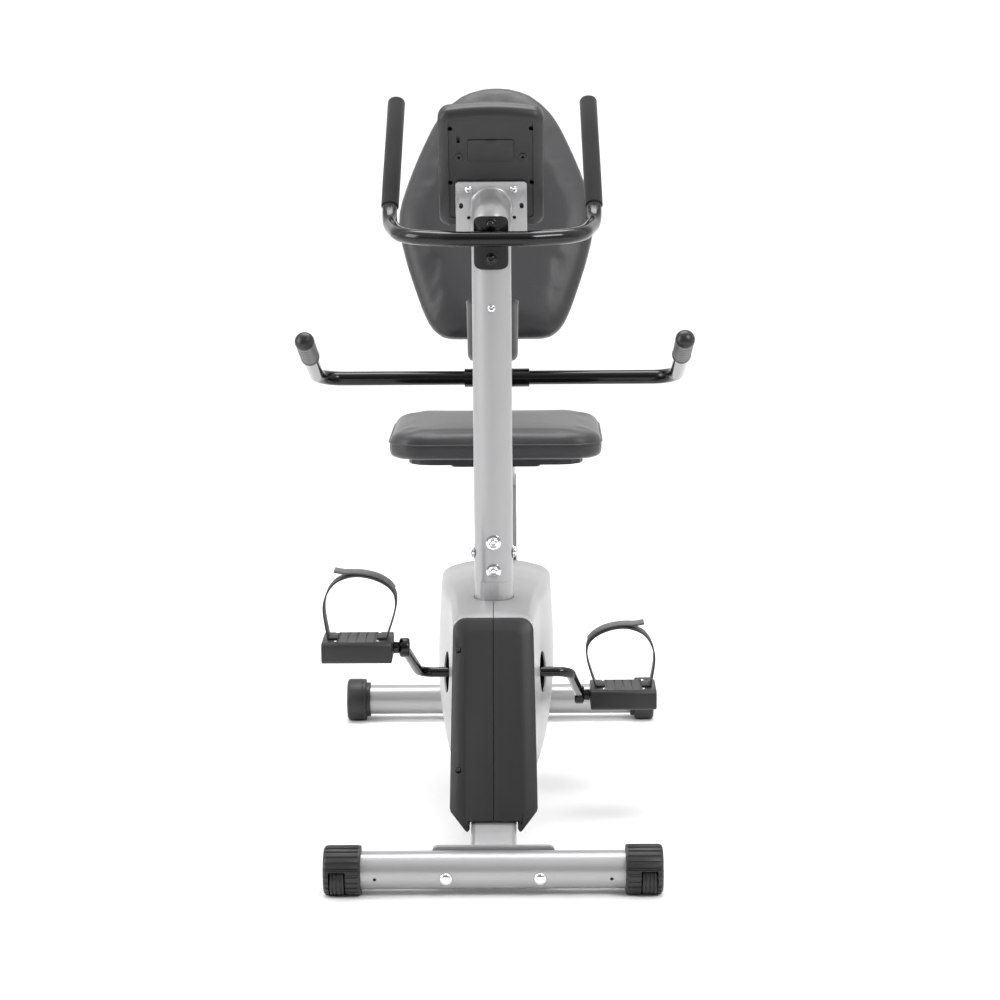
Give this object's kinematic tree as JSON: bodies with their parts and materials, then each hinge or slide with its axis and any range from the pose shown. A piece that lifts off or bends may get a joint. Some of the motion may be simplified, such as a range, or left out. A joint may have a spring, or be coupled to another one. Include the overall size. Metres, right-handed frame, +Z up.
{
  "type": "recumbent exercise bike",
  "caption": "Recumbent exercise bike with an enclosed pedal drive, a sliding seat with backrest and hand grips, and a console on a mast.",
  "frame": {"origin": "on the floor, at the middle of the outer bounds in X and Y", "axes": "+Z up; the rider faces -Y, so the front stabiliser is towards -Y and the seat towards +Y; +X is the rider's left"},
  "size_m": [0.669, 1.2325, 1.1769],
  "materials": {
    "silver_paint": "silver powder coat, semi-gloss",
    "black_paint": "black gloss paint",
    "black_plastic": "fine-textured black injection moulding",
    "silver_plastic": "silver-grey moulded plastic, satin",
    "black_foam": "closed-cell black foam, matte",
    "black_strap": "moulded flexible strap, matte",
    "chrome": "polished chrome",
    "zinc_steel": "zinc-plated steel",
    "cast_iron": "turned cast iron",
    "charcoal_vinyl": "vinyl upholstery, fine grain",
    "belt_rubber": "ribbed rubber belt",
    "screen_glass": "clear window over a liquid-crystal panel"
  },
  "bodies": {
    "frame": {"front_stabiliser": "silver_paint", "front_cap_left": "black_plastic", "front_cap_right": "black_plastic", "wheel_axle_left": "zinc_steel", "wheel_axle_right": "zinc_steel", "saddle_bolt_left": "chrome", "saddle_bolt_right": "chrome", "rear_stabiliser": "silver_paint", "rear_cap_left": "black_plastic", "rear_cap_right": "black_plastic", "main_frame": "silver_paint", "rear_frame": "silver_paint", "bearing_cup_left": "zinc_steel", "bearing_cup_right": "zinc_steel", "mast": "silver_paint", "handlebar_bracket": "black_paint", "handlebar": "black_paint", "grip_left": "black_foam", "grip_right": "black_foam", "bottle_holder": "black_plastic", "console_back": "black_plastic", "console_front": "black_plastic", "console_screen": "screen_glass", "shroud_left": "silver_plastic", "shroud_right": "silver_plastic", "front_panel_left": "black_plastic", "front_panel_right": "black_plastic", "flywheel_axle": "zinc_steel", "idler_arm": "zinc_steel", "magnet_pin": "zinc_steel", "drive_belt": "belt_rubber"},
    "crank": {"crank": "black_paint", "crank_pulley": "black_plastic", "pedal_spindle_left": "zinc_steel", "pedal_spindle_right": "zinc_steel"},
    "left_pedal": {"pedal_left": "black_plastic", "pedal_strap_left": "black_strap"},
    "right_pedal": {"pedal_right": "black_plastic", "pedal_strap_right": "black_strap"},
    "flywheel": {"flywheel": "cast_iron", "flywheel_pulley": "zinc_steel"},
    "idler": {"idler_wheel": "black_plastic"},
    "left_wheel": {"transport_wheel_left": "black_plastic"},
    "right_wheel": {"transport_wheel_right": "black_plastic"},
    "seat": {"seat_carriage": "silver_paint", "seat_frame": "black_paint", "seat_board": "black_plastic", "seat_cushion": "charcoal_vinyl", "backrest_board": "black_plastic", "backrest_cushion": "charcoal_vinyl", "seat_handlebar": "black_paint", "seat_grip_left": "black_plastic", "seat_grip_right": "black_plastic"},
    "adjuster": {"adjuster_pin": "black_plastic"},
    "brake": {"magnet_bracket": "zinc_steel"},
    "mode_button": {"button_mode": "black_plastic"},
    "set_button": {"button_set": "black_plastic"},
    "clear_button": {"button_clear": "black_plastic"},
    "door": {"battery_door": "black_plastic"}
  },
  "joints": [
    {"name": "crank_spin", "type": "hinge", "parent": "frame", "child": "crank", "pos_m": [0, -0.22875, 0.262], "axis": [1, 0, 0], "continuous": true},
    {"name": "left_pedal_spin", "type": "hinge", "parent": "crank", "child": "left_pedal", "pos_m": [0.155, -0.07982, 0.19097], "axis": [1, 0, 0], "continuous": true},
    {"name": "right_pedal_spin", "type": "hinge", "parent": "crank", "child": "right_pedal", "pos_m": [-0.155, -0.37768, 0.33303], "axis": [1, 0, 0], "continuous": true},
    {"name": "flywheel_spin", "type": "hinge", "parent": "frame", "child": "flywheel", "pos_m": [0, -0.01875, 0.186], "axis": [1, 0, 0], "continuous": true},
    {"name": "idler_spin", "type": "hinge", "parent": "frame", "child": "idler", "pos_m": [0, -0.11375, 0.14601], "axis": [1, 0, 0], "continuous": true},
    {"name": "left_wheel_spin", "type": "hinge", "parent": "frame", "child": "left_wheel", "pos_m": [0.232, -0.59125, 0.02664], "axis": [1, 0, 0], "continuous": true},
    {"name": "right_wheel_spin", "type": "hinge", "parent": "frame", "child": "right_wheel", "pos_m": [-0.232, -0.59125, 0.02664], "axis": [1, 0, 0], "continuous": true},
    {"name": "seat_slide", "type": "slide", "parent": "frame", "child": "seat", "axis": [0, 0.9563, 0.2924], "range_m": [0, 0.18]},
    {"name": "adjuster_pull", "type": "slide", "parent": "seat", "child": "adjuster", "axis": [0, 0.2924, -0.9563], "range_m": [0, 0.01], "stiffness_N_per_m": 800, "springref_m": -0.004},
    {"name": "brake_swing", "type": "hinge", "parent": "frame", "child": "brake", "pos_m": [0, 0.0818, 0.2226], "axis": [1, 0, 0], "range_deg": [0, 6]},
    {"name": "mode_press", "type": "slide", "parent": "frame", "child": "mode_button", "axis": [0, -0.9272, -0.3746], "range_m": [0, 0.0015], "stiffness_N_per_m": 400, "springref_m": -0.001},
    {"name": "set_press", "type": "slide", "parent": "frame", "child": "set_button", "axis": [0, -0.9272, -0.3746], "range_m": [0, 0.0015], "stiffness_N_per_m": 400, "springref_m": -0.001},
    {"name": "clear_press", "type": "slide", "parent": "frame", "child": "clear_button", "axis": [0, -0.9272, -0.3746], "range_m": [0, 0.0015], "stiffness_N_per_m": 400, "springref_m": -0.001},
    {"name": "door_off", "type": "slide", "parent": "frame", "child": "door", "axis": [0, -0.9272, -0.3746], "range_m": [0, 0.04]}
  ],
  "couplings": [
    {"joint": "flywheel_spin", "follows": "crank_spin", "ratio": 5.5556},
    {"joint": "idler_spin", "follows": "crank_spin", "ratio": -6.6667}
  ]
}
